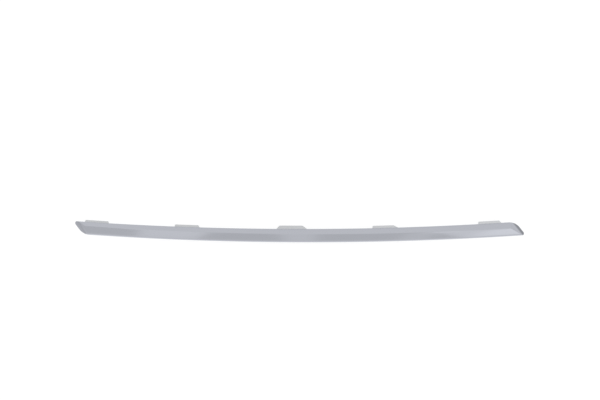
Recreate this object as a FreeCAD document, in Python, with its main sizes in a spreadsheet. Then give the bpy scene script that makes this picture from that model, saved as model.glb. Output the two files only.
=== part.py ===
"""Chrome-plated bumper trim strip, one injection moulding.

Millimetres. X runs along the strip, +Y is the edge with the locating tabs, +Z is the visible face.
The strip lies face up on its rims. The origin is the middle of the overall box, at its bottom.
"""
import FreeCAD, Part
import os
import Sketcher

SIZES = {
    # Plan form
    "overall_length": 619.9,
    "face_height_left": 17.6,
    "face_height_right": 19.3,
    "edge_radius": 4500.0,
    "edge_vertex": 2.2,
    "run_out": 12.0,
    # Face
    "crease_inset_left": 5.8,
    "crease_inset_right": 8.8,
    "upper_facet_angle": 10.0,
    "lower_facet_angle": 11.0,
    "upper_facet_crown": 200.0,
    "lower_facet_crown": 140.0,
    "crease_round": 5.0,
    "lower_edge_round": 2.4,
    "upper_edge_round": 0.7,
    # Channel behind the face
    "section_depth": 12.0,
    "wall": 2.4,
    "flange_draft": 0.75,
    "core_draft": 1.0,
    "core_round": 1.0,
    "bow_radius": 8000.0,
    "level_rim_from": 245.0,
    "rib_thickness": 1.6,
    "rib_pitch": 48.0,
    "rib_foot": 5.5,
    "rib_end_margin": 42.0,
    # Ends: slants and facet slope in degrees, end_blend a slope
    "end_slant_left": 37.0,
    "end_slant_right": 38.5,
    "tip_round_left": 2.9,
    "tip_round_right": 3.05,
    "corner_round_left": 21.0,
    "corner_round_right": 18.5,
    "end_blend": 0.045,
    "end_facet_left": 7.6,
    "end_facet_right": 8.4,
    "end_facet_angle": 21.0,
    "end_facet_crown": 30.0,
    # Locating tabs
    "tab_thickness": 2.0,
    "tab_step": 0.4,
    "tab_root": 1.8,
    "tab_corner_round": 1.2,
    "tab_1_from_left_end": 30.3,
    "tab_1_width": 33.0,
    "tab_1_reach": 2.7,
    "tab_1_left_run": 0.6,
    "tab_1_right_run": 0.8,
    "tab_2_from_middle": -155.0,
    "tab_2_width": 34.6,
    "tab_2_reach": 2.95,
    "tab_2_left_run": 0.4,
    "tab_2_right_run": 2.0,
    "tab_3_from_middle": -10.8,
    "tab_3_width": 42.4,
    "tab_3_reach": 4.6,
    "tab_3_left_run": 4.2,
    "tab_3_right_run": 6.2,
    "tab_4_from_middle": 118.1,
    "tab_4_width": 35.6,
    "tab_4_reach": 3.3,
    "tab_4_left_run": 0.4,
    "tab_4_right_run": 6.2,
    "tab_5_from_right_end": 47.4,
    "tab_5_width": 32.2,
    "tab_5_reach": 3.4,
    "tab_5_left_run": 0.6,
    "tab_5_right_run": 3.0,
}
TAB_PLACES = [
    "({tab_1_from_left_end} - {overall_length} / 2)",
    "{tab_2_from_middle}",
    "{tab_3_from_middle}",
    "{tab_4_from_middle}",
    "({overall_length} / 2 - {tab_5_from_right_end})",
]
RIB_GAPS = int((SIZES["overall_length"] - 2 * SIZES["rib_end_margin"]) / SIZES["rib_pitch"])
STATION_COUNT = 5
# What a cutting tool or a core reaches past the material
PAST = 6.0
FAR = 60.0


def add_sheet(doc):
    """Every driving dimension, one named cell each."""
    sheet = doc.addObject("Spreadsheet::Sheet", "Sizes")
    for row, (name, number) in enumerate(SIZES.items(), 1):
        sheet.set(f"A{row}", name)
        sheet.set(f"B{row}", str(number))
        sheet.setAlias(f"B{row}", name)
    doc.recompute()
    return sheet


def bound(text):
    """A formula over the names in SIZES, as an expression over the sheet's cells."""
    return text.format_map({name: f"Sizes.{name}" for name in SIZES})


def value(owner, text):
    """What such a formula comes to now."""
    number = owner.evalExpression(bound(text))
    return float(getattr(number, "Value", number))


def origin_plane(body, role):
    return next(plane for plane in body.Origin.OriginFeatures if plane.Role == role)


def attach(body, sketch, role, base, turn=("0", "0", "0")):
    """Lay a sketch on one of the body's origin planes, moved and turned in that plane's own axes."""
    sketch.AttachmentSupport = [(origin_plane(body, role), "")]
    sketch.MapMode = "FlatFace"
    move = "; ".join(base)
    angles = "; ".join(turn)
    sketch.setExpression("AttachmentOffset", bound(f"placement(vector({move}); rotation({angles}))"))


def add_sketch(body, name, role, base, turn=("0", "0", "0")):
    sketch = body.newObject("Sketcher::SketchObject", name)
    attach(body, sketch, role, base, turn)
    return sketch


def dimension(sketch, kind, line, text):
    """Hold a line's first end at an ordinate from the sketch's origin."""
    held = Sketcher.Constraint(kind, -1, 1, line, 1, value(sketch, text))
    index = sketch.addConstraint(held)
    sketch.setExpression(f"Constraints[{index}]", bound(text))


def add_outline(sketch, points, arcs=None):
    """A closed outline, counter-clockwise, through points that are given as pairs of formulas.

    arcs gives the centre and the radius of each side that is an arc, by the number of its first point.
    """
    arcs = arcs or {}
    first = sketch.GeometryCount
    places = [FreeCAD.Vector(value(sketch, across), value(sketch, up), 0) for across, up in points]
    for number, start in enumerate(places):
        end = places[(number + 1) % len(places)]
        if number in arcs:
            (across, up), radius = arcs[number]
            centre = FreeCAD.Vector(value(sketch, across), value(sketch, up), 0)
            circle = Part.Circle(centre, FreeCAD.Vector(0, 0, 1), value(sketch, radius))
            sketch.addGeometry(Part.ArcOfCircle(circle, circle.parameter(start), circle.parameter(end)))
            held = Sketcher.Constraint("Radius", first + number, value(sketch, radius))
            sketch.setExpression(f"Constraints[{sketch.addConstraint(held)}]", bound(radius))
        else:
            sketch.addGeometry(Part.LineSegment(start, end))
    for number, (across, up) in enumerate(points):
        before = first + (number - 1) % len(points)
        sketch.addConstraint(Sketcher.Constraint("Coincident", before, 2, first + number, 1))
        dimension(sketch, "DistanceX", first + number, across)
        dimension(sketch, "DistanceY", first + number, up)


def derive(sketch, name, text):
    """Keep a size that follows from the sheet with the sketch that uses it."""
    sketch.addProperty("App::PropertyFloat", name, "Section")
    setattr(sketch, name, value(sketch, text))
    sketch.setExpression(name, bound(text))


# Formulas for the strip's running sizes at a distance x along it
def top_edge(x):
    return f"((({x}) - {{edge_vertex}}) ^ 2 / (2 * {{edge_radius}}))"


def blend(name, x):
    left, right = "{" + name + "_left}", "{" + name + "_right}"
    return f"({left} + ({right} - {left}) * (0.5 + ({x}) / {{overall_length}}))"


def rim_level(x):
    return f"(({{level_rim_from}} ^ 2 - ({x}) ^ 2) / (2 * {{bow_radius}}))"


def station(number):
    share = number / (STATION_COUNT - 1) - 0.5
    return f"({share} * ({{overall_length}} + 2 * {{run_out}}))"


def derive_side(sketch, side, x, inset, edge, lean):
    """Where one facet, running down from the crease, meets its rounded edge.

    The crease, the crowned facet and the edge are three arcs, each tangent to the next. side_sine and
    side_cosine are of the slope at which the facet ends, and side_drop is the fall from the crease
    to the flange, all of them one inset inside the outer faces.
    """
    width = blend("crease_inset", x)
    if side == "lower":
        width = f"({blend('face_height', x)} - {width})"
    angle, crown = "{" + side + "_facet_angle}", "{" + side + "_facet_crown}"
    derive(sketch, f"{side}_sine", (
        f"({width} - {inset} + ({crown} - {{crease_round}}) * sin({angle}) - {edge} * cos({lean}))"
        f" / ({crown} - {inset} - {edge})"
    ))
    derive(sketch, f"{side}_cosine", f"sqrt(1 - {side}_sine ^ 2)")
    derive(sketch, f"{side}_drop", (
        f"({{crease_round}} - {inset}) * (1 - cos({angle}))"
        f" + ({crown} - {inset}) * (cos({angle}) - {side}_cosine) + {edge} * ({side}_cosine - sin({lean}))"
    ))


def half_face(side, way, ridge, inset, edge, lean):
    """The crease's foot, the facet's foot, the edge's foot and the flange's foot on one side.

    way is 1 towards the tab edge and -1 towards the lower edge. ridge is the crease's highest point.
    Each foot comes with the centre and the radius of the arc that ends there.
    """
    angle = "{" + side + "_facet_angle}"
    crown = "({" + side + "_facet_crown} - " + inset + ")"
    crease = f"({{crease_round}} - {inset})"
    centre = (ridge[0], f"({ridge[1]} - {crease})")
    first = (f"({centre[0]} + {way} * {crease} * sin({angle}))", f"({centre[1]} + {crease} * cos({angle}))")
    centres = [centre, (
        f"({first[0]} - {way} * {crown} * sin({angle}))", f"({first[1]} - {crown} * cos({angle}))",
    )]
    second = (
        f"({centres[1][0]} + {way} * {crown} * {side}_sine)", f"({centres[1][1]} + {crown} * {side}_cosine)",
    )
    centres.append((
        f"({second[0]} - {way} * {edge} * {side}_sine)", f"({second[1]} - {edge} * {side}_cosine)",
    ))
    third = (
        f"({centres[2][0]} + {way} * {edge} * cos({lean}))", f"({centres[2][1]} + {edge} * sin({lean}))",
    )
    foot = (f"({third[0]} + {way} * {third[1]} * tan({lean}))", "0")
    return [first, second, third, foot], list(zip(centres, (crease, crown, edge)))


def draw_section(sketch, x, inset, drop, lean, edges):
    """The moulding's section at x, one inset inside its faces, with rims that reach down by drop.

    The origin is under the lower edge. The path goes up the tab edge's flange, over the face and
    down the lower flange, and the flanges spread by lean towards the rims.
    """
    derive_side(sketch, "upper", x, inset, edges[0], lean)
    derive_side(sketch, "lower", x, inset, edges[1], lean)
    ridge = (
        f"({blend('face_height', x)} - {blend('crease_inset', x)})",
        f"({{section_depth}} + {drop} - {inset})",
    )
    upper, upper_arcs = half_face("upper", 1, ridge, inset, edges[0], lean)
    lower, lower_arcs = half_face("lower", -1, ridge, inset, edges[1], lean)
    points = upper[::-1] + lower
    arcs = {1: upper_arcs[2], 2: upper_arcs[1], 3: upper_arcs[0], 4: lower_arcs[1], 5: lower_arcs[2]}
    add_outline(sketch, points, arcs)


def outer_section(sketch, x):
    draw_section(sketch, x, "0", "0", "{flange_draft}", ["{upper_edge_round}", "{lower_edge_round}"])


def core_section(sketch, x):
    """One wall further in, with the core's own draft, and run out below the rims."""
    lean = "({flange_draft} + {core_draft})"
    draw_section(sketch, x, "{wall}", str(PAST), lean, ["{core_round}", "{core_round}"])


def add_loft(body, name, section, drop):
    """A loft through like sections that follow the strip's smile and its bow."""
    sketches = []
    for number in range(STATION_COUNT):
        x = station(number)
        foot = f"{top_edge(x)} - {blend('face_height', x)}"
        sketch = add_sketch(body, f"{name}_{number}", "YZ_Plane", (foot, f"{rim_level(x)} - {drop}", x))
        section(sketch, x)
        sketches.append(sketch)
    loft = body.newObject("PartDesign::AdditiveLoft", name)
    loft.Profile = sketches[0]
    loft.Sections = sketches[1:]
    loft.Ruled = False
    return loft


def add_pocket(body, sketch, name, both_ways=True, reversed_way=False):
    pocket = body.newObject("PartDesign::Pocket", name)
    pocket.Profile = sketch
    pocket.Type = "ThroughAll"
    if both_ways:
        pocket.SideType = "Symmetric"
    pocket.Reversed = reversed_way
    return pocket


def edge_slope(edge, x):
    """Slope of the tab edge or of the lower edge at x, seen from above."""
    slope = f"(({x} - {{edge_vertex}}) / {{edge_radius}})"
    if edge == "tab":
        return slope
    return f"({slope} - ({{face_height_right}} - {{face_height_left}}) / {{overall_length}})"


def derive_end(sketch, side):
    """What one end's outline follows from, seen from above with the end on the left.

    The slanted side runs from a sharp tip on the near edge, the tab edge at the left and the lower
    edge at the right, to a rounded corner on the far edge. Both arcs leave their edge end_blend
    short of tangent. tip_run is from the sharp tip to where the tip's arc takes over, and tip_x is
    that sharp tip, which puts the arc's outermost point at half the overall length.
    """
    name = "left" if side < 0 else "right"
    x = f"({side} * {{overall_length}} / 2)"
    near, far = ("tab", "lower") if side < 0 else ("lower", "tab")
    slant, tip = "{end_slant_" + name + "}", "{tip_round_" + name + "}"
    corner = "{corner_round_" + name + "}"
    derive(sketch, "far_slope", edge_slope(far, x))
    derive(sketch, "corner_tangent", "{end_blend} - far_slope")
    derive(sketch, "corner_cosine", "1 / sqrt(1 + corner_tangent ^ 2)")
    derive(sketch, "corner_sine", "corner_tangent * corner_cosine")
    derive(sketch, "tip_tangent", f"0 - {edge_slope(near, x)} - {{end_blend}}")
    derive(sketch, "tip_cosine", "1 / sqrt(1 + tip_tangent ^ 2)")
    derive(sketch, "tip_sine", "tip_tangent * tip_cosine")
    derive(sketch, "tip_run", (
        f"{tip} * (1 + sin({slant}) * tip_cosine + cos({slant}) * tip_sine)"
        f" / (cos({slant}) * tip_cosine - sin({slant}) * tip_sine)"
    ))
    reach = f"({{overall_length}} / 2 + {tip} * (cos({slant}) - 1) + tip_run * sin({slant}))"
    derive(sketch, "tip_x", f"{side} * {reach}")
    derive(sketch, "slant_run", (
        f"({blend('face_height', x)} - {corner} * (corner_cosine - sin({slant}))"
        f" - far_slope * {corner} * (cos({slant}) - corner_sine)) / (1 + far_slope * tan({slant}))"
    ))
    if side < 0:
        derive(sketch, "tip_y", top_edge("tip_x"))
    else:
        derive(sketch, "tip_y", f"{top_edge('tip_x')} - {blend('face_height', 'tip_x')}")
    return slant, tip, corner


def add_end_outline(body, side, inset):
    """Cut one end to its slant and round the corner and the tip, inset from the outside.

    Drawn for the left end, with the sharp tip at the sketch's origin, and turned half round for the
    right. The hollow keeps its tip sharp.
    """
    name = "left" if side < 0 else "right"
    sketch = body.newObject("Sketcher::SketchObject", f"{name}_end_outline")
    slant, tip, corner = derive_end(sketch, side)
    attach(body, sketch, "XY_Plane", ("tip_x", "tip_y", "0"), ("0" if side < 0 else "180", "0", "0"))
    centre = (
        f"(slant_run * tan({slant}) + {corner} * cos({slant}))", f"({corner} * sin({slant}) - slant_run)",
    )
    inner = f"({corner} - {inset})"
    bend = (f"{centre[0]} - {inner} * cos({slant})", f"{centre[1]} - {inner} * sin({slant})")
    end = (f"{centre[0]} - {inner} * corner_sine", f"{centre[1]} - {inner} * corner_cosine")
    out = (f"{end[0]} + {FAR} * corner_cosine", f"{end[1]} - {FAR} * corner_sine")
    if inset == "0":
        tip_centre = (
            f"({tip} * cos({slant}) + tip_run * sin({slant}))",
            f"({tip} * sin({slant}) - tip_run * cos({slant}))",
        )
        points = [
            (f"{FAR} * tip_cosine", f"0 - {FAR} * tip_sine"),
            ("tip_run * tip_cosine", "0 - tip_run * tip_sine"),
            (f"tip_run * sin({slant})", f"0 - tip_run * cos({slant})"),
            bend, end, out, (f"0 - {FAR}", f"0 - {FAR}"), (f"0 - {FAR}", f"{FAR}"), (f"{FAR}", f"{FAR}"),
        ]
        add_outline(sketch, points, {1: (tip_centre, tip), 3: (centre, inner)})
    else:
        start = (f"{bend[0]} - {FAR} * sin({slant})", f"{bend[1]} + {FAR} * cos({slant})")
        add_outline(sketch, [start, bend, end, out, (f"0 - {FAR}", f"0 - {FAR}")], {1: (centre, inner)})
    add_pocket(body, sketch, f"{name}_end")


def add_end_facet(body, side, inset):
    """Round the face down to the end along the slant, one inset below the outside.

    The facet leaves the crease's level at end_facet_angle and steepens outwards on its crown.
    """
    name = "left" if side < 0 else "right"
    sketch = body.newObject("Sketcher::SketchObject", f"{name}_facet_profile")
    slant = derive_end(sketch, side)[0]
    turn = slant if side < 0 else f"{slant} + 180"
    attach(body, sketch, "XZ_Plane", ("tip_x", "0", "0 - tip_y"), ("0", turn, "0"))
    sine, cosine = "sin({end_facet_angle})", "cos({end_facet_angle})"
    centre = (
        "({end_facet_" + name + "} + {end_facet_crown} * " + sine + ")",
        f"({rim_level('tip_x')} + {{section_depth}} - {{end_facet_crown}} * {cosine})",
    )
    crown = f"({{end_facet_crown}} - {inset})"
    foot = (f"{centre[0]} - {crown} * {sine}", f"{centre[1]} + {crown} * {cosine}")
    inner = (f"{foot[0]} + {PAST} * {cosine}", f"{foot[1]} + {PAST} * {sine}")
    add_outline(sketch, [
        foot,
        (f"{centre[0]} - {crown}", centre[1]),
        (f"0 - {FAR}", centre[1]),
        (f"0 - {FAR}", f"{centre[1]} + {FAR}"),
        (inner[0], f"{centre[1]} + {FAR}"),
        inner,
    ], {0: (centre, crown)})
    add_pocket(body, sketch, f"{name}_facet")


def add_tab(body, number, x):
    """One locating tab: a thin flat lip that stands out of the tab edge's flange, behind the face.

    left_round and right_round are how far each rounded corner starts from the sharp one.
    """
    own = "{tab_" + str(number) + "_"
    turn = (f"atan(({x} - {{edge_vertex}}) / {{edge_radius}})", f"atan({x} / {{bow_radius}})", "0")
    sketch = body.newObject("Sketcher::SketchObject", f"tab_{number}_outline")
    derive_side(sketch, "upper", x, "0", "{upper_edge_round}", "{flange_draft}")
    level = f"{rim_level(x)} + {{section_depth}} - upper_drop - {{tab_step}}"
    attach(body, sketch, "XY_Plane", (x, top_edge(x), level), turn)
    half = own + "width} / 2"
    reach = own + "reach}"
    corners = {}
    for way, side in ((-1, "left"), (1, "right")):
        run = own + side + "_run}"
        derive(sketch, f"{side}_length", f"sqrt({run} ^ 2 + {reach} ^ 2)")
        derive(sketch, f"{side}_round", f"{{tab_corner_round}} * ({side}_length - {run}) / {reach}")
        corner = f"({half} - {run})"
        corners[side] = [
            (
                f"{way} * ({corner} + {side}_round * {run} / {side}_length)",
                f"{reach} * (1 - {side}_round / {side}_length)",
            ),
            (f"{way} * ({corner} - {side}_round)", reach),
            (f"{way} * ({corner} - {side}_round)", f"({reach} - {{tab_corner_round}})"),
        ]
    left, right = corners["left"], corners["right"]
    add_outline(sketch, [
        (f"0 - {half}", "0 - {tab_root}"), (half, "0 - {tab_root}"), (half, "0"),
        right[0], right[1], left[1], left[0], (f"0 - {half}", "0"),
    ], {3: (right[2], "{tab_corner_round}"), 5: (left[2], "{tab_corner_round}")})
    pad = body.newObject("PartDesign::Pad", f"tab_{number}")
    pad.Profile = sketch
    pad.setExpression("Length", bound("{tab_thickness}"))
    pad.Reversed = True


def level_rims(body):
    """Take both rims off level where the bow would carry them below the plane the strip lies on."""
    sketch = add_sketch(body, "floor_outline", "XY_Plane", ("0", "0", "0"))
    half = f"{{overall_length}} / 2 + {FAR}"
    add_outline(sketch, [
        (f"0 - ({half})", f"0 - {FAR}"), (half, f"0 - {FAR}"), (half, f"{FAR}"), (f"0 - ({half})", f"{FAR}"),
    ])
    add_pocket(body, sketch, "level_rims", both_ways=False)


def add_ribs(body):
    """Slots through the core, which leave the cross ribs standing in the moulding."""
    sketch = add_sketch(body, "rib_outlines", "XY_Plane", ("0", "0", "{rib_foot}"))
    for number in range(RIB_GAPS + 1):
        middle = f"{number - RIB_GAPS / 2} * {{rib_pitch}}"
        left = f"{middle} - {{rib_thickness}} / 2"
        right = f"{middle} + {{rib_thickness}} / 2"
        add_outline(sketch, [
            (left, f"0 - {FAR}"), (right, f"0 - {FAR}"), (right, f"{FAR}"), (left, f"{FAR}"),
        ])
    add_pocket(body, sketch, "ribs", both_ways=False, reversed_way=True)


def add_blank(doc):
    """The moulding's outside, still solid."""
    body = doc.addObject("PartDesign::Body", "blank")
    add_loft(body, "section", outer_section, "0")
    for side in (-1, 1):
        add_end_facet(body, side, "0")
        add_end_outline(body, side, "0")
    for number, x in enumerate(TAB_PLACES, 1):
        add_tab(body, number, x)
    level_rims(body)
    return body


def add_core(doc):
    """The hollow behind the face, between the ribs."""
    body = doc.addObject("PartDesign::Body", "core")
    add_loft(body, "hollow", core_section, str(PAST))
    for side in (-1, 1):
        add_end_facet(body, side, "{wall}")
        add_end_outline(body, side, "{wall}")
    add_ribs(body)
    return body


def check(doc):
    """Stop if any feature failed."""
    for item in doc.Objects:
        if {"Invalid", "Error"} & set(item.State):
            raise RuntimeError(f"{item.Name}: {item.State}")


def main():
    doc = FreeCAD.newDocument("bumper_trim_strip")
    add_sheet(doc)
    strip = doc.addObject("Part::Cut", "trim_strip")
    strip.Base = add_blank(doc)
    strip.Tool = add_core(doc)
    strip.Label = "trim_strip"
    doc.recompute()
    check(doc)
    box = strip.Shape.optimalBoundingBox()
    strip.Placement.Base = FreeCAD.Vector(-box.Center.x, -box.Center.y, -box.ZMin)
    if strip.Shape.isNull() or not strip.Shape.isValid() or len(strip.Shape.Solids) != 1:
        raise RuntimeError("trim_strip is not one valid solid")
    os.makedirs("parts", exist_ok=True)
    strip.Shape.exportStep(f"parts/{strip.Label}.step")
    print(strip.Label, strip.Shape.optimalBoundingBox(), f"volume {strip.Shape.Volume:.0f} mm3")


main()
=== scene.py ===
"""Looks of a chrome-plated bumper trim strip, lying face up on a pale studio floor."""
import math

import bmesh
import bpy
from bpy.props import FloatProperty, FloatVectorProperty, PointerProperty
from mathutils import Matrix, Vector


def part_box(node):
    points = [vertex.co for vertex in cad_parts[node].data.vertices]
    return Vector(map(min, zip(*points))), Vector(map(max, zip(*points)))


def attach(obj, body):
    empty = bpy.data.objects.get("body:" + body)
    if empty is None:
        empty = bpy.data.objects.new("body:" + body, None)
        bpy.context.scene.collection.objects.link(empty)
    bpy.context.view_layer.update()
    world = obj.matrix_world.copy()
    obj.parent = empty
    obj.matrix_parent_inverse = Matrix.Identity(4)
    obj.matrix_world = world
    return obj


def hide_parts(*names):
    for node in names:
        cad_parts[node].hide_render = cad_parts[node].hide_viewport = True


bl_info = {
    "name": "Bumper Trim Strip",
    "version": (1, 0, 0),
    "blender": (4, 5, 0),
    "location": "3D View > Sidebar > Trim Strip",
    "description": "Models a chrome-plated bumper moulding and its studio",
    "category": "Object",
}

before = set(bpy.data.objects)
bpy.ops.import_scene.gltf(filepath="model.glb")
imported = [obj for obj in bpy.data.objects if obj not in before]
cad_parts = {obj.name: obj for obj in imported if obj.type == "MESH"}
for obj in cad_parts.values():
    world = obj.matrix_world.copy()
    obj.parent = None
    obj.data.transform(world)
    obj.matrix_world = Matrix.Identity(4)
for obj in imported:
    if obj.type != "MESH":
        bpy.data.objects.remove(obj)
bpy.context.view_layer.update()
NODE = "trim_strip"
BODY = "root"


def length(name, description, default):
    return FloatProperty(
        name=name, description=description, default=default, unit="LENGTH", precision=5,
    )


def angle(name, description, degrees):
    return FloatProperty(
        name=name, description=description, default=math.radians(degrees), subtype="ANGLE",
    )


def colour(name, description, default):
    return FloatVectorProperty(
        name=name, description=description, default=default, subtype="COLOR", min=0, max=1,
    )


def share(name, description, default):
    return FloatProperty(
        name=name, description=description, default=default, subtype="FACTOR", min=0, max=2,
    )


class TrimStripSizes(bpy.types.PropertyGroup):
    """Sizes of the moulding, in metres."""
    overall_length: length("Overall length", "Between the two tips", 0.6199)
    face_height_left: length("Face height, left", "Across the face at the left end", 0.0176)
    face_height_right: length("Face height, right", "Across the face at the right end", 0.0193)
    edge_radius: length("Edge radius", "Radius of the tab edge's smile", 4.5)
    edge_vertex: length("Edge vertex", "Where the smile is lowest", 0.0022)
    run_out: length("Run out", "Spare length of the sweep past each tip", 0.012)
    crease_inset_left: length("Crease inset, left", "Crease to tab edge at the left end", 0.0058)
    crease_inset_right: length("Crease inset, right", "Crease to tab edge at the right end", 0.0088)
    upper_facet_angle: angle("Upper facet slope", "Fall of the upper facet at the crease", 10)
    lower_facet_angle: angle("Lower facet slope", "Fall of the lower facet at the crease", 11)
    upper_facet_crown: length("Upper facet crown", "Radius of the upper facet", 0.2)
    lower_facet_crown: length("Lower facet crown", "Radius of the lower facet", 0.14)
    crease_round: length("Crease round", "Radius along the crease", 0.005)
    lower_edge_round: length("Lower edge round", "Radius along the lower edge", 0.0024)
    upper_edge_round: length("Upper edge round", "Radius along the tab edge", 0.0007)
    section_depth: length("Depth", "Crease to rims", 0.012)
    wall: length("Wall", "Thickness of the moulding", 0.0024)
    flange_draft: angle("Flange draft", "Spread of the outer flanges", 0.75)
    core_draft: angle("Core draft", "Further spread of the channel's sides", 1)
    core_round: length("Core round", "Radius inside the channel's corners", 0.001)
    bow_radius: length("Bow radius", "Radius of the strip's bow", 8)
    level_rim_from: length("Level rim from", "Where the rims turn level", 0.245)
    rib_thickness: length("Rib thickness", "Thickness of a cross rib", 0.0016)
    rib_pitch: length("Rib pitch", "Between cross ribs", 0.048)
    rib_foot: length("Rib foot", "Height of the ribs' lower edges", 0.0055)
    rib_end_margin: length("Rib end margin", "Least distance of a rib from a tip", 0.042)
    end_slant_left: angle("End slant, left", "Slant of the left end cut", 37)
    end_slant_right: angle("End slant, right", "Slant of the right end cut", 38.5)
    tip_round_left: length("Tip round, left", "Radius of the left tip", 0.0029)
    tip_round_right: length("Tip round, right", "Radius of the right tip", 0.00305)
    corner_round_left: length("Corner round, left", "Lower left corner", 0.021)
    corner_round_right: length("Corner round, right", "Upper right corner", 0.0185)
    end_blend: share("End blend", "Slope by which the end rounds stop short of tangent", 0.045)
    end_facet_left: length("End facet, left", "Width of the left end's facet", 0.0076)
    end_facet_right: length("End facet, right", "Width of the right end's facet", 0.0084)
    end_facet_angle: angle("End facet slope", "Slope at which the facets leave the face", 21)
    end_facet_crown: length("End facet crown", "Radius of the end facets", 0.03)
    tab_thickness: length("Tab thickness", "Thickness of a locating tab", 0.002)
    tab_step: length("Tab step", "Tab below the rounded tab edge", 0.0004)
    tab_root: length("Tab root", "How far a tab roots in the flange", 0.0018)
    tab_corner_round: length("Tab corner round", "Radius of a tab's outer corners", 0.0012)
    sharp_from: angle("Sharp from", "Edges that turn more than this stay crisp", 18)


class PlatingFinish(bpy.types.PropertyGroup):
    """Colours and gloss of the plating."""
    face_colour: colour("Face", "Bright plating on the visible face", (0.545, 0.56, 0.613))
    tab_colour: colour("Tabs", "Thinner plating on the locating tabs", (0.67, 0.682, 0.70))
    back_colour: colour("Back", "Dull plating inside the channel", (0.40, 0.405, 0.415))
    face_roughness: share("Face roughness", "Mean roughness of the visible face", 0.06)
    tab_roughness: share("Tab roughness", "Mean roughness of the tabs", 0.34)
    back_roughness: share("Back roughness", "Mean roughness inside the channel", 0.42)
    ripple: length("Ripple", "Height of the faint waves left by the moulding", 0.000012)


class StudioSettings(bpy.types.PropertyGroup):
    """Camera, floor and light."""
    camera_height: length("Camera height", "Above the face, looking straight down", 3.0)
    frame_width: length("Frame width", "Across the picture at the face", 0.8260)
    camera_x: length("Camera X", "Camera beside the strip's middle", 0.0006)
    camera_y: length("Camera Y", "Camera towards the tab edge from the middle", 0.0430)
    floor_size: length("Floor size", "Side of the square floor", 16)
    floor_colour: colour("Floor", "Plain pale floor", (0.8, 0.8, 0.8))
    sky_level: share("Tent level", "Brightness of the light tent at the horizon", 1.0)


LEFT, RIGHT = -1, 1
X_AXIS, Y_AXIS, Z_AXIS = Vector((1, 0, 0)), Vector((0, 1, 0)), Vector((0, 0, 1))

# Each tab: a datum, its middle from there, its width and reach, and the runs of its two slopes
TABS = [
    ("left end", 0.0303, 0.0330, 0.0027, 0.0006, 0.0008),
    ("middle", -0.1550, 0.0346, 0.00295, 0.0004, 0.0020),
    ("middle", -0.0108, 0.0424, 0.0046, 0.0042, 0.0062),
    ("middle", 0.1181, 0.0356, 0.0033, 0.0004, 0.0062),
    ("right end", -0.0474, 0.0322, 0.0034, 0.0006, 0.0030),
]
# How far cutters and the core reach past the material
PAST = 0.006
FAR = 0.06
# Half the length of the block that trims the rims level
TRIM_REACH = 1
# Steps of the section's arcs: upper edge, upper facet, crease, lower facet, lower edge
ARC_STEPS = (6, 5, 8, 8, 12)
# Steps along the strip, then round its corners, tips and end facets and the tabs' corners
STATIONS = 240
CORNER_STEPS = 28
TIP_STEPS = 20
FACET_STEPS = 24
TAB_CORNER_STEPS = 5
# Points no further apart than this are one point
SAME_POINT = 1e-6

# The moulding's finishes, on the visible face, the tabs and the channel behind: each one's
# material, how much its colour wanders, and the scale of its clouds
FINISHES = {
    "face": ("bright_plating", 0.012, 9),
    "tab": ("tab_plating", 0.02, 30),
    "back": ("back_plating", 0.08, 60),
}
# The plating's clouds and its grain: detail of the noise, and the part of it that the ramps use
CLOUD_DETAIL = 3
CLOUD_SPAN = (0.3, 0.7)
GRAIN_DETAIL = 2
GRAIN_SPAN = (0.25, 0.75)
# How many times finer and shallower than the clouds the grain is, and how much it varies the gloss
GRAIN_FINER = 40
GRAIN_SHALLOWER = 20
GLOSS_WANDER = 0.2

# The floor as the camera and the plating see it: a part of its own shade, under an even glow
FLOOR_SHADE = 0.4
FLOOR_GLOW = 0.8
FLOOR_CELLS = 8

# The light tent's brightness over the sine of the elevation
TENT_STOPS = [
    (0.0, 1.0), (0.15, 1.0), (0.4, 0.9), (0.6, 0.84), (0.78, 0.84), (0.9, 0.86), (1.0, 0.86),
]
# The grey panel overhead: from, to and softness, in tangents from the zenith, and its depth
PANEL_ACROSS = (-0.5, -0.05, 0.25)
PANEL_ALONG = (-0.6, 0.6, 0.3)
PANEL_SHADE = 0.165
# Its gaps: lean, from, to, softness, and how much light each lets through
PANEL_GAPS = [
    (-0.12, -0.107, -0.046, 0.006, 1.45),
    (0.0, -0.0125, 0.0055, 0.016, 0.9),
    (0.0, 0.108, 0.127, 0.012, 0.6),
    (0.2, 0.056, 0.6, 0.006, 1.5),
    (0.0, 0.200, 0.6, 0.035, 1.2),
]
# The gaps lean only in the panel's lower part
LEAN_BELOW = -0.3
# Least sine of the elevation that the tangents are worked out with
LEAST_HEIGHT = 0.02
# Dark flags that the end facets and the tab edge see: direction, core and edge in degrees, depth
FLAGS = [
    ((0.80, 0.54, 0.245), 3, 12.5, 0.5),
    ((-0.75, -0.50, 0.40), 6, 29, 0.25),
    ((0.0, 0.7, 0.7), 6, 24, 0.12),
]


# In the functions that follow, s is the group of sizes in use
def blend_sizes(s, name, x):
    """A size that runs evenly from its left value to its right one, at x along the strip."""
    left, right = getattr(s, name + "_left"), getattr(s, name + "_right")
    return left + (right - left) * (0.5 + x / s.overall_length)


def tab_edge(s, x):
    """How far up the smile the tab edge stands at x, seen from above."""
    return (x - s.edge_vertex) ** 2 / (2 * s.edge_radius)


def rim_level(s, x):
    """How far the bow lifts the section at x."""
    return (s.level_rim_from ** 2 - x ** 2) / (2 * s.bow_radius)


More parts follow.
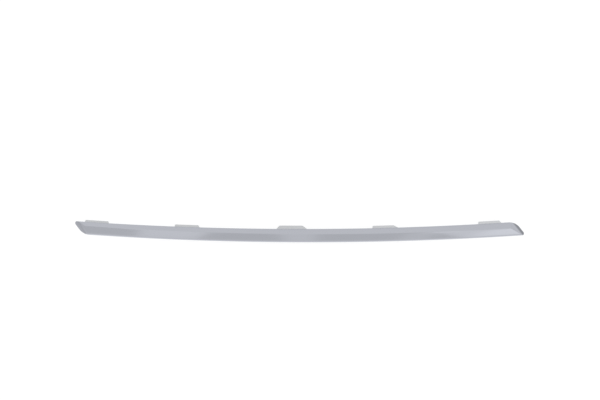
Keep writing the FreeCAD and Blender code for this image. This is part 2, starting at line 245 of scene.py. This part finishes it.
def facet_end(s, facet, x, inset, edge_round, lean):
    """Slope at which a facet meets its rounded edge, and the fall from the crease to the flange."""
    width = blend_sizes(s, "crease_inset", x)
    if facet == "lower":
        width = blend_sizes(s, "face_height", x) - width
    slope, crown = getattr(s, facet + "_facet_angle"), getattr(s, facet + "_facet_crown")
    sine = width - inset + (crown - s.crease_round) * math.sin(slope) - edge_round * math.cos(lean)
    end = math.asin(sine / (crown - inset - edge_round))
    drop = (s.crease_round - inset) * (1 - math.cos(slope))
    drop += (
        (crown - inset) * (math.cos(slope) - math.cos(end))
        + edge_round * (math.cos(end) - math.sin(lean))
    )
    return end, drop


def extend(bm, vert, place):
    """One straight edge on from a vertex."""
    made = bmesh.ops.extrude_vert_indiv(bm, verts=[vert])["verts"][0]
    made.co = place
    return made


def arc_on(bm, vert, centre, axis, turn, steps):
    """An arc on from a vertex, about a centre."""
    made = bmesh.ops.spin(
        bm, geom=[vert], cent=centre, axis=axis, angle=turn, steps=steps, use_merge=False,
        use_normal_flip=False, use_duplicate=False, dvec=Vector(), space=Matrix.Identity(4),
    )
    return next(item for item in made["geom_last"] if isinstance(item, bmesh.types.BMVert))


def close_outline(bm, first, last):
    bm.edges.new((last, first))


def section_loop(bm, s, x, inset, below, lean, rounds):
    """The section at x, inset from the outer form and reaching that far below the rims.

    It runs up the upper flange, over the face in five arcs and down the lower flange.
    """
    high = blend_sizes(s, "face_height", x)
    upper_end, upper_drop = facet_end(s, "upper", x, inset, rounds[0], lean)
    lower_end = facet_end(s, "lower", x, inset, rounds[1], lean)[0]
    top = s.section_depth + below - inset
    flange_top = top - upper_drop
    spread = math.tan(lean)
    first = bm.verts.new((x, high - inset + flange_top * spread, 0))
    vert = extend(bm, first, (x, high - inset, flange_top))
    headings = [
        math.pi / 2 + lean, math.pi - upper_end, math.pi - s.upper_facet_angle,
        math.pi + s.lower_facet_angle, math.pi + lower_end, 3 * math.pi / 2 - lean,
    ]
    radii = [
        rounds[0], s.upper_facet_crown - inset, s.crease_round - inset,
        s.lower_facet_crown - inset, rounds[1],
    ]
    for start, end, radius, steps in zip(headings, headings[1:], radii, ARC_STEPS):
        inward = Vector((0, -math.sin(start), math.cos(start)))
        vert = arc_on(bm, vert, vert.co + radius * inward, X_AXIS, end - start, steps)
    last = extend(bm, vert, (x, vert.co.y - vert.co.z * spread, 0))
    close_outline(bm, first, last)


def sweep(s, inset, below, lean, rounds):
    """A closed bar of that section, tapered along its length and bent to the smile and the bow."""
    bm = bmesh.new()
    reach = s.overall_length / 2 + s.run_out
    for x in (-reach, reach):
        section_loop(bm, s, x, inset, below, lean, rounds)
    bmesh.ops.bridge_loops(
        bm, edges=bm.edges[:], use_pairs=False, use_cyclic=False, use_merge=False,
    )
    along = [edge for edge in bm.edges if abs(edge.verts[0].co.x - edge.verts[1].co.x) > reach]
    bmesh.ops.subdivide_edges(bm, edges=along, cuts=STATIONS)
    bmesh.ops.holes_fill(bm, edges=[edge for edge in bm.edges if edge.is_boundary], sides=0)
    for vert in bm.verts:
        x = vert.co.x
        vert.co.y += tab_edge(s, x) - blend_sizes(s, "face_height", x)
        vert.co.z += rim_level(s, x) - below
    return bm


def prism(bm, along, shift=Vector()):
    """Close the outline in bm, shift it, and thicken it along a vector."""
    face = bmesh.ops.contextual_create(bm, geom=bm.verts[:] + bm.edges[:])["faces"][0]
    bmesh.ops.translate(bm, verts=bm.verts[:], vec=shift)
    made = bmesh.ops.extrude_face_region(bm, geom=[face])["geom"]
    moved = [item for item in made if isinstance(item, bmesh.types.BMVert)]
    bmesh.ops.translate(bm, verts=moved, vec=along)


def polygon(bm, places):
    """A closed outline of straight edges."""
    first = bm.verts.new(places[0])
    vert = first
    for place in places[1:]:
        vert = extend(bm, vert, place)
    close_outline(bm, first, vert)


def edge_slope(s, edge, x):
    """Slope of the tab edge or of the lower edge at x, seen from above."""
    slope = (x - s.edge_vertex) / s.edge_radius
    if edge == "lower":
        slope -= (s.face_height_right - s.face_height_left) / s.overall_length
    return slope


def along_edge(angle_down):
    """The way inwards along an edge that falls by that angle, for an end on the left."""
    return Vector((math.cos(angle_down), -math.sin(angle_down), 0))


def end_outline(s, side):
    """One end's slant, its rounds, the slopes they stop at, its runs and its sharp tip's place."""
    name, near, far = ("left", "tab", "lower") if side == LEFT else ("right", "lower", "tab")
    x = side * s.overall_length / 2
    slant, tip, corner = (
        getattr(s, f"{part}_{name}") for part in ("end_slant", "tip_round", "corner_round")
    )
    far_slope = edge_slope(s, far, x)
    leave = math.atan(s.end_blend - far_slope)
    meet = math.atan(-edge_slope(s, near, x) - s.end_blend)
    tip_run = tip * (1 + math.sin(slant + meet)) / math.cos(slant + meet)
    tip_x = side * (s.overall_length / 2 + tip * (math.cos(slant) - 1) + tip_run * math.sin(slant))
    tip_y = tab_edge(s, tip_x) - (0 if side == LEFT else blend_sizes(s, "face_height", tip_x))
    slant_run = blend_sizes(s, "face_height", x) - corner * (math.cos(leave) - math.sin(slant))
    slant_run -= far_slope * corner * (math.cos(slant) - math.sin(leave))
    slant_run /= 1 + far_slope * math.tan(slant)
    return slant, tip, corner, leave, meet, tip_run, slant_run, Vector((tip_x, tip_y, 0))


def turned(side, place, more=0):
    """Turn by more, and half round at the right end, then move to the tip."""
    turn = more + (0 if side == LEFT else math.pi)
    return Matrix.Translation(place) @ Matrix.Rotation(turn, 4, "Z")


def end_cutter(s, side, inset):
    """What lies outside one end's slanted side, its rounded tip and its rounded corner."""
    slant, tip, corner, leave, meet, tip_run, slant_run, place = end_outline(s, side)
    outward = Vector((-math.cos(slant), -math.sin(slant), 0))
    down = Vector((math.sin(slant), -math.cos(slant), 0))
    centre = slant_run / math.cos(slant) * down - corner * outward
    bm = bmesh.new()
    bend = centre + (corner - inset) * outward
    if inset:
        first = bm.verts.new(bend - FAR * down)
        vert = extend(bm, first, bend)
    else:
        first = bm.verts.new(FAR * along_edge(meet))
        vert = extend(bm, first, tip_run * along_edge(meet))
        turn = math.pi / 2 + slant + meet
        vert = arc_on(bm, vert, tip_run * down - tip * outward, Z_AXIS, turn, TIP_STEPS)
        vert = extend(bm, vert, bend)
    vert = arc_on(bm, vert, centre, Z_AXIS, math.pi / 2 - leave - slant, CORNER_STEPS)
    vert = extend(bm, vert, vert.co + FAR * along_edge(leave))
    last = extend(bm, vert, (-FAR, -FAR, 0))
    if not inset:
        last = extend(bm, extend(bm, last, (-FAR, FAR, 0)), (FAR, FAR, 0))
    close_outline(bm, first, last)
    prism(bm, 2 * FAR * Z_AXIS, shift=-FAR * Z_AXIS)
    bm.transform(turned(side, place))
    return bm


def facet_cutter(s, side, inset):
    """What lies above one end's facet, which steepens outwards on its crown."""
    slant, *_, place = end_outline(s, side)
    width = s.end_facet_left if side == LEFT else s.end_facet_right
    slope, crown = s.end_facet_angle, s.end_facet_crown
    uphill = Vector((math.cos(slope), 0, math.sin(slope)))
    ridge = Vector((width, 0, rim_level(s, place.x) + s.section_depth))
    centre = ridge + crown * Vector((math.sin(slope), 0, -math.cos(slope)))
    foot = centre + (crown - inset) * Vector((-math.sin(slope), 0, math.cos(slope)))
    inner = foot + PAST * uphill
    bm = bmesh.new()
    first = bm.verts.new(foot)
    vert = arc_on(bm, first, centre, -Y_AXIS, math.pi / 2 - slope, FACET_STEPS)
    over = centre.z + FAR
    for x, z in ((-FAR, centre.z), (-FAR, over), (inner.x, over), (inner.x, inner.z)):
        vert = extend(bm, vert, (x, 0, z))
    close_outline(bm, first, vert)
    prism(bm, 2 * FAR * Y_AXIS, shift=-FAR * Y_AXIS)
    bm.transform(turned(side, place, slant))
    return bm


def round_corner(bm, x, y, offset):
    """Round the upright edge that stands at x, y."""
    upright = [
        edge for edge in bm.edges
        if all(math.dist(vert.co.xy, (x, y)) < SAME_POINT for vert in edge.verts)
    ]
    bmesh.ops.bevel(
        bm, geom=upright, offset=offset, offset_type="OFFSET", segments=TAB_CORNER_STEPS,
        profile=0.5, affect="EDGES", material=-1,
    )


def tab_body(s, tab):
    """One locating tab, rooted in the flange."""
    datum, offset, width, reach, left_run, right_run = tab
    x = offset + {"left end": -0.5, "middle": 0, "right end": 0.5}[datum] * s.overall_length
    drop = facet_end(s, "upper", x, 0, s.upper_edge_round, s.flange_draft)[1]
    half = width / 2
    bm = bmesh.new()
    polygon(bm, [
        (-half, -s.tab_root, 0), (half, -s.tab_root, 0), (half, 0, 0),
        (half - right_run, reach, 0), (left_run - half, reach, 0), (-half, 0, 0),
    ])
    prism(bm, -s.tab_thickness * Z_AXIS)
    for side, run in ((LEFT, left_run), (RIGHT, right_run)):
        setback = s.tab_corner_round * (math.hypot(run, reach) - run) / reach
        round_corner(bm, side * (half - run), reach, setback)
    level = rim_level(s, x) + s.section_depth - drop - s.tab_step
    yaw = Matrix.Rotation(math.atan((x - s.edge_vertex) / s.edge_radius), 4, "Z")
    pitch = Matrix.Rotation(math.atan(x / s.bow_radius), 4, "Y")
    bm.transform(Matrix.Translation((x, tab_edge(s, x), level)) @ yaw @ pitch)
    return bm


def block(low, high):
    """A box between two opposite corners."""
    bm = bmesh.new()
    bmesh.ops.create_cube(bm, size=1)
    low, high = Vector(low), Vector(high)
    bmesh.ops.scale(bm, verts=bm.verts[:], vec=high - low)
    bmesh.ops.translate(bm, verts=bm.verts[:], vec=(low + high) / 2)
    return bm


def link_mesh(bm, name, materials):
    """A mesh object in the scene with those materials."""
    mesh = bpy.data.meshes.new(name)
    bm.to_mesh(mesh)
    bm.free()
    for material in materials:
        mesh.materials.append(material)
    made = bpy.data.objects.new(name, mesh)
    bpy.context.scene.collection.objects.link(made)
    return made


def as_object(bm, name, finish="face"):
    """A closed mesh whose faces all take one finish, which they keep through the cuts."""
    bm.normal_update()
    bmesh.ops.recalc_face_normals(bm, faces=bm.faces[:])
    for face in bm.faces:
        face.material_index = list(FINISHES).index(finish)
    return link_mesh(bm, name, [bpy.data.materials[material] for material, *_ in FINISHES.values()])


def carve(target, operation, tools):
    """Join or cut a mesh with others, then drop the tools."""
    for tool in tools:
        modifier = target.modifiers.new(tool.name, "BOOLEAN")
        modifier.operation = operation
        modifier.solver = "EXACT"
        modifier.material_mode = "INDEX"
        modifier.object = tool
    bpy.context.view_layer.update()
    evaluated = target.evaluated_get(bpy.context.evaluated_depsgraph_get())
    mesh = bpy.data.meshes.new_from_object(evaluated)
    target.modifiers.clear()
    old = target.data
    target.data = mesh
    bpy.data.meshes.remove(old)
    for tool in tools:
        mesh = tool.data
        bpy.data.objects.remove(tool)
        bpy.data.meshes.remove(mesh)


def cut_ends(s, target, inset, finish):
    """Cut both ends' slants, rounds and facets, inset from the outer form."""
    tools = []
    for side in (LEFT, RIGHT):
        tools.append(as_object(facet_cutter(s, side, inset), "facet_cutter", finish))
        tools.append(as_object(end_cutter(s, side, inset), "end_cutter", finish))
    carve(target, "DIFFERENCE", tools)


def make_moulding(s):
    """The blank with its ends cut and its tabs on, less the ribbed core and all below the rims."""
    outer_rounds = (s.upper_edge_round, s.lower_edge_round)
    core_rounds = (s.core_round, s.core_round)
    core_lean = s.flange_draft + s.core_draft
    blank = as_object(sweep(s, 0, 0, s.flange_draft, outer_rounds), "moulding")
    core = as_object(sweep(s, s.wall, PAST, core_lean, core_rounds), "core", "back")
    cut_ends(s, blank, 0, "face")
    cut_ends(s, core, s.wall, "back")
    gaps = int((s.overall_length - 2 * s.rib_end_margin) / s.rib_pitch)
    half = s.rib_thickness / 2
    ribs = []
    for number in range(gaps + 1):
        x = (number - gaps / 2) * s.rib_pitch
        rib = block((x - half, -FAR, s.rib_foot), (x + half, FAR, FAR))
        ribs.append(as_object(rib, "rib", "back"))
    carve(core, "DIFFERENCE", ribs)
    tabs = [as_object(tab_body(s, tab), "tab", "tab") for tab in TABS]
    carve(blank, "UNION", tabs)
    under_rims = block((-TRIM_REACH, -FAR, -FAR), (TRIM_REACH, FAR, 0))
    carve(blank, "DIFFERENCE", [core, as_object(under_rims, "floor_cutter", "back")])
    return blank


def finish_mesh(mesh, s):
    """Place the moulding in the frame and keep its crisp edges crisp."""
    bm = bmesh.new()
    bm.from_mesh(mesh)
    bmesh.ops.remove_doubles(bm, verts=bm.verts[:], dist=SAME_POINT)
    low = Vector([min(vert.co[axis] for vert in bm.verts) for axis in range(3)])
    high = Vector([max(vert.co[axis] for vert in bm.verts) for axis in range(3)])
    bottom, top = (Vector(corner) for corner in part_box(NODE))
    move = (bottom + top - low - high) / 2
    move.z = bottom.z - low.z
    bmesh.ops.translate(bm, verts=bm.verts[:], vec=move)
    for edge in bm.edges:
        edge.smooth = edge.calc_face_angle(0) < s.sharp_from
    for face in bm.faces:
        face.smooth = True
    bm.to_mesh(mesh)
    bm.free()


def node_tree(owner):
    """The owner's node tree, emptied."""
    owner.use_nodes = True
    owner.node_tree.nodes.clear()
    return owner.node_tree


def add_node(tree, kind, values=None, **settings):
    """A node with its settings; its inputs are given as values or as the outputs that feed them."""
    node = tree.nodes.new(kind)
    for name, setting in settings.items():
        setattr(node, name, setting)
    for name, given in (values or {}).items():
        if isinstance(given, bpy.types.NodeSocket):
            tree.links.new(given, node.inputs[name])
        else:
            node.inputs[name].default_value = given
    return node


def noise(tree, place, scale, detail):
    node = add_node(tree, "ShaderNodeTexNoise", {"Vector": place, "Scale": scale, "Detail": detail})
    return node.outputs["Fac"]


def ramp(tree, factor, stops):
    """A colour ramp; each stop is a position and a grey level or a colour."""
    node = add_node(tree, "ShaderNodeValToRGB", {"Fac": factor})
    elements = node.color_ramp.elements
    while len(elements) < len(stops):
        elements.new(0.5)
    for element, (position, shade) in zip(elements, stops):
        element.position = position
        element.color = (*shade, 1) if isinstance(shade, list) else (shade, shade, shade, 1)
    return node.outputs["Color"]


def math_node(tree, operation, *values):
    node = add_node(tree, "ShaderNodeMath", dict(enumerate(values)), operation=operation)
    return node.outputs[0]


def object_place(tree):
    return add_node(tree, "ShaderNodeTexCoord").outputs["Object"]


def plating(name, tint, roughness, wander, scale, ripple):
    """Plated metal: its colour and gloss wander a little, over faint waves and a fine grain."""
    tree = node_tree(bpy.data.materials.new(name))
    place = object_place(tree)
    cloud = noise(tree, place, scale, CLOUD_DETAIL)
    grain = noise(tree, place, GRAIN_FINER * scale, GRAIN_DETAIL)
    tints = [[channel * level for channel in tint] for level in (1 - wander, 1 + wander)]
    glosses = [roughness * (1 - GLOSS_WANDER), roughness * (1 + GLOSS_WANDER)]
    shade = ramp(tree, cloud, list(zip(CLOUD_SPAN, tints)))
    gloss = ramp(tree, grain, list(zip(GRAIN_SPAN, glosses)))
    waves = add_node(tree, "ShaderNodeBump", {"Height": cloud, "Strength": 1.0, "Distance": ripple})
    fine = add_node(tree, "ShaderNodeBump", {
        "Height": grain, "Strength": 1.0, "Distance": ripple / GRAIN_SHALLOWER,
        "Normal": waves.outputs[0],
    })
    shader = add_node(tree, "ShaderNodeBsdfPrincipled", {
        "Base Color": shade, "Metallic": 1.0, "Roughness": gloss, "Normal": fine.outputs[0],
    })
    add_node(tree, "ShaderNodeOutputMaterial", {"Surface": shader.outputs[0]})


def make_finishes(finish):
    for part, (name, wander, scale) in FINISHES.items():
        tint, roughness = getattr(finish, part + "_colour"), getattr(finish, part + "_roughness")
        plating(name, tint, roughness, wander, scale, finish.ripple)


def build_floor(studio):
    """A plain pale floor, white to the camera and in the plating, that keeps the soft shadow."""
    material = bpy.data.materials.new("pale_floor")
    tree = node_tree(material)
    rays = add_node(tree, "ShaderNodeLightPath").outputs
    seen = math_node(tree, "MAXIMUM", rays["Is Camera Ray"], rays["Is Glossy Ray"])
    seen = math_node(tree, "MAXIMUM", seen, rays["Is Transmission Ray"])
    shade = [FLOOR_SHADE * channel for channel in studio.floor_colour]
    matt = add_node(tree, "ShaderNodeBsdfDiffuse", {"Color": (*studio.floor_colour, 1)})
    faint = add_node(tree, "ShaderNodeBsdfDiffuse", {"Color": (*shade, 1)})
    glow = add_node(tree, "ShaderNodeEmission", {"Color": (1, 1, 1, 1), "Strength": FLOOR_GLOW})
    pale = add_node(tree, "ShaderNodeAddShader", {0: faint.outputs[0], 1: glow.outputs[0]})
    mixed = add_node(tree, "ShaderNodeMixShader", {0: seen, 1: matt.outputs[0], 2: pale.outputs[0]})
    add_node(tree, "ShaderNodeOutputMaterial", {"Surface": mixed.outputs[0]})
    bm = bmesh.new()
    bmesh.ops.create_grid(
        bm, x_segments=FLOOR_CELLS, y_segments=FLOOR_CELLS, size=studio.floor_size / 2,
    )
    link_mesh(bm, "floor", [material])


def smooth_step(tree, value, start, end, low=0.0, high=1.0):
    """From low to high while a value runs from start to end."""
    node = add_node(tree, "ShaderNodeMapRange", {
        "Value": value, "From Min": start, "From Max": end, "To Min": low, "To Max": high,
    }, interpolation_type="SMOOTHSTEP")
    return node.outputs["Result"]


def band(tree, value, start, end, soft):
    """1 between start and end, falling to 0 over soft on each side."""
    rise = smooth_step(tree, value, start - soft, start)
    fall = smooth_step(tree, value, end, end + soft, 1.0, 0.0)
    return math_node(tree, "MULTIPLY", rise, fall)


def build_light_tent(studio):
    """A white tent, softer overhead, with a grey panel that has gaps, and with dark flags."""
    world = bpy.data.worlds.new("light_tent")
    bpy.context.scene.world = world
    tree = node_tree(world)
    way = add_node(tree, "ShaderNodeTexCoord").outputs["Generated"]
    parts = add_node(tree, "ShaderNodeSeparateXYZ", {0: way}).outputs
    height = math_node(tree, "MAXIMUM", parts["Z"], LEAST_HEIGHT)
    along = math_node(tree, "DIVIDE", parts["X"], height)
    across = math_node(tree, "DIVIDE", parts["Y"], height)
    tent = ramp(tree, parts["Z"], TENT_STOPS)
    panel = math_node(
        tree, "MULTIPLY", band(tree, across, *PANEL_ACROSS), band(tree, along, *PANEL_ALONG),
    )
    leaning = math_node(tree, "MINIMUM", across, LEAN_BELOW)
    shade = 1.0
    for lean, start, end, soft, gain in PANEL_GAPS:
        place = math_node(tree, "MULTIPLY_ADD", leaning, lean, along)
        shade = math_node(tree, "MULTIPLY_ADD", band(tree, place, start, end, soft), -gain, shade)
    shade = math_node(tree, "MULTIPLY", panel, shade)
    level = math_node(tree, "MULTIPLY_ADD", shade, -PANEL_SHADE, 1.0)
    for direction, core, edge, depth in FLAGS:
        facing = add_node(
            tree, "ShaderNodeVectorMath", {0: way, 1: Vector(direction).normalized()},
            operation="DOT_PRODUCT",
        ).outputs["Value"]
        flag = smooth_step(tree, facing, math.cos(math.radians(edge)), math.cos(math.radians(core)))
        kept = math_node(tree, "MULTIPLY_ADD", flag, -depth, 1.0)
        level = math_node(tree, "MULTIPLY", level, kept)
    light = add_node(
        tree, "ShaderNodeVectorMath", {0: tent, "Scale": level}, operation="SCALE",
    ).outputs["Vector"]
    back = add_node(tree, "ShaderNodeBackground", {"Color": light, "Strength": studio.sky_level})
    add_node(tree, "ShaderNodeOutputWorld", {"Surface": back.outputs[0]})


def add_camera(studio):
    """A camera that looks straight down on the face."""
    data = bpy.data.cameras.new("camera")
    data.lens = data.sensor_width * studio.camera_height / studio.frame_width
    camera = bpy.data.objects.new("camera", data)
    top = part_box(NODE)[1][2]
    camera.location = (studio.camera_x, studio.camera_y, top + studio.camera_height)
    bpy.context.scene.collection.objects.link(camera)
    bpy.context.scene.camera = camera


class TRIM_OT_moulding(bpy.types.Operator):
    """Model the plated moulding with its tabs and ribs"""
    bl_idname = "trim.moulding"
    bl_label = "Moulding"

    def execute(self, context):
        sizes = context.scene.trim_strip
        make_finishes(context.scene.plating_finish)
        piece = make_moulding(sizes)
        piece.name = "plated_moulding"
        finish_mesh(piece.data, sizes)
        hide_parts(NODE)
        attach(piece, BODY)
        return {"FINISHED"}


class TRIM_OT_studio(bpy.types.Operator):
    """Set up the floor, the light tent and the camera"""
    bl_idname = "trim.studio"
    bl_label = "Studio"

    def execute(self, context):
        studio = context.scene.studio_settings
        build_floor(studio)
        build_light_tent(studio)
        add_camera(studio)
        context.scene.view_settings.view_transform = "Standard"
        return {"FINISHED"}


class TRIM_PT_panel(bpy.types.Panel):
    """Sizes, finish and studio of the trim strip"""
    bl_label = "Trim Strip"
    bl_space_type = "VIEW_3D"
    bl_region_type = "UI"
    bl_category = "Trim Strip"

    def draw(self, context):
        scene = context.scene
        for group in (scene.trim_strip, scene.plating_finish, scene.studio_settings):
            box = self.layout.box()
            for name in group.bl_rna.properties.keys():
                if name not in ("rna_type", "name"):
                    box.prop(group, name)
        self.layout.operator(TRIM_OT_moulding.bl_idname)
        self.layout.operator(TRIM_OT_studio.bl_idname)


CLASSES = (
    TrimStripSizes, PlatingFinish, StudioSettings, TRIM_OT_moulding, TRIM_OT_studio, TRIM_PT_panel,
)


def register():
    for made in CLASSES:
        bpy.utils.register_class(made)
    bpy.types.Scene.trim_strip = PointerProperty(type=TrimStripSizes)
    bpy.types.Scene.plating_finish = PointerProperty(type=PlatingFinish)
    bpy.types.Scene.studio_settings = PointerProperty(type=StudioSettings)


def unregister():
    del bpy.types.Scene.trim_strip, bpy.types.Scene.plating_finish, bpy.types.Scene.studio_settings
    for made in reversed(CLASSES):
        bpy.utils.unregister_class(made)


def main():
    register()
    bpy.ops.trim.moulding()
    bpy.ops.trim.studio()


if __name__ == "__main__":
    main()
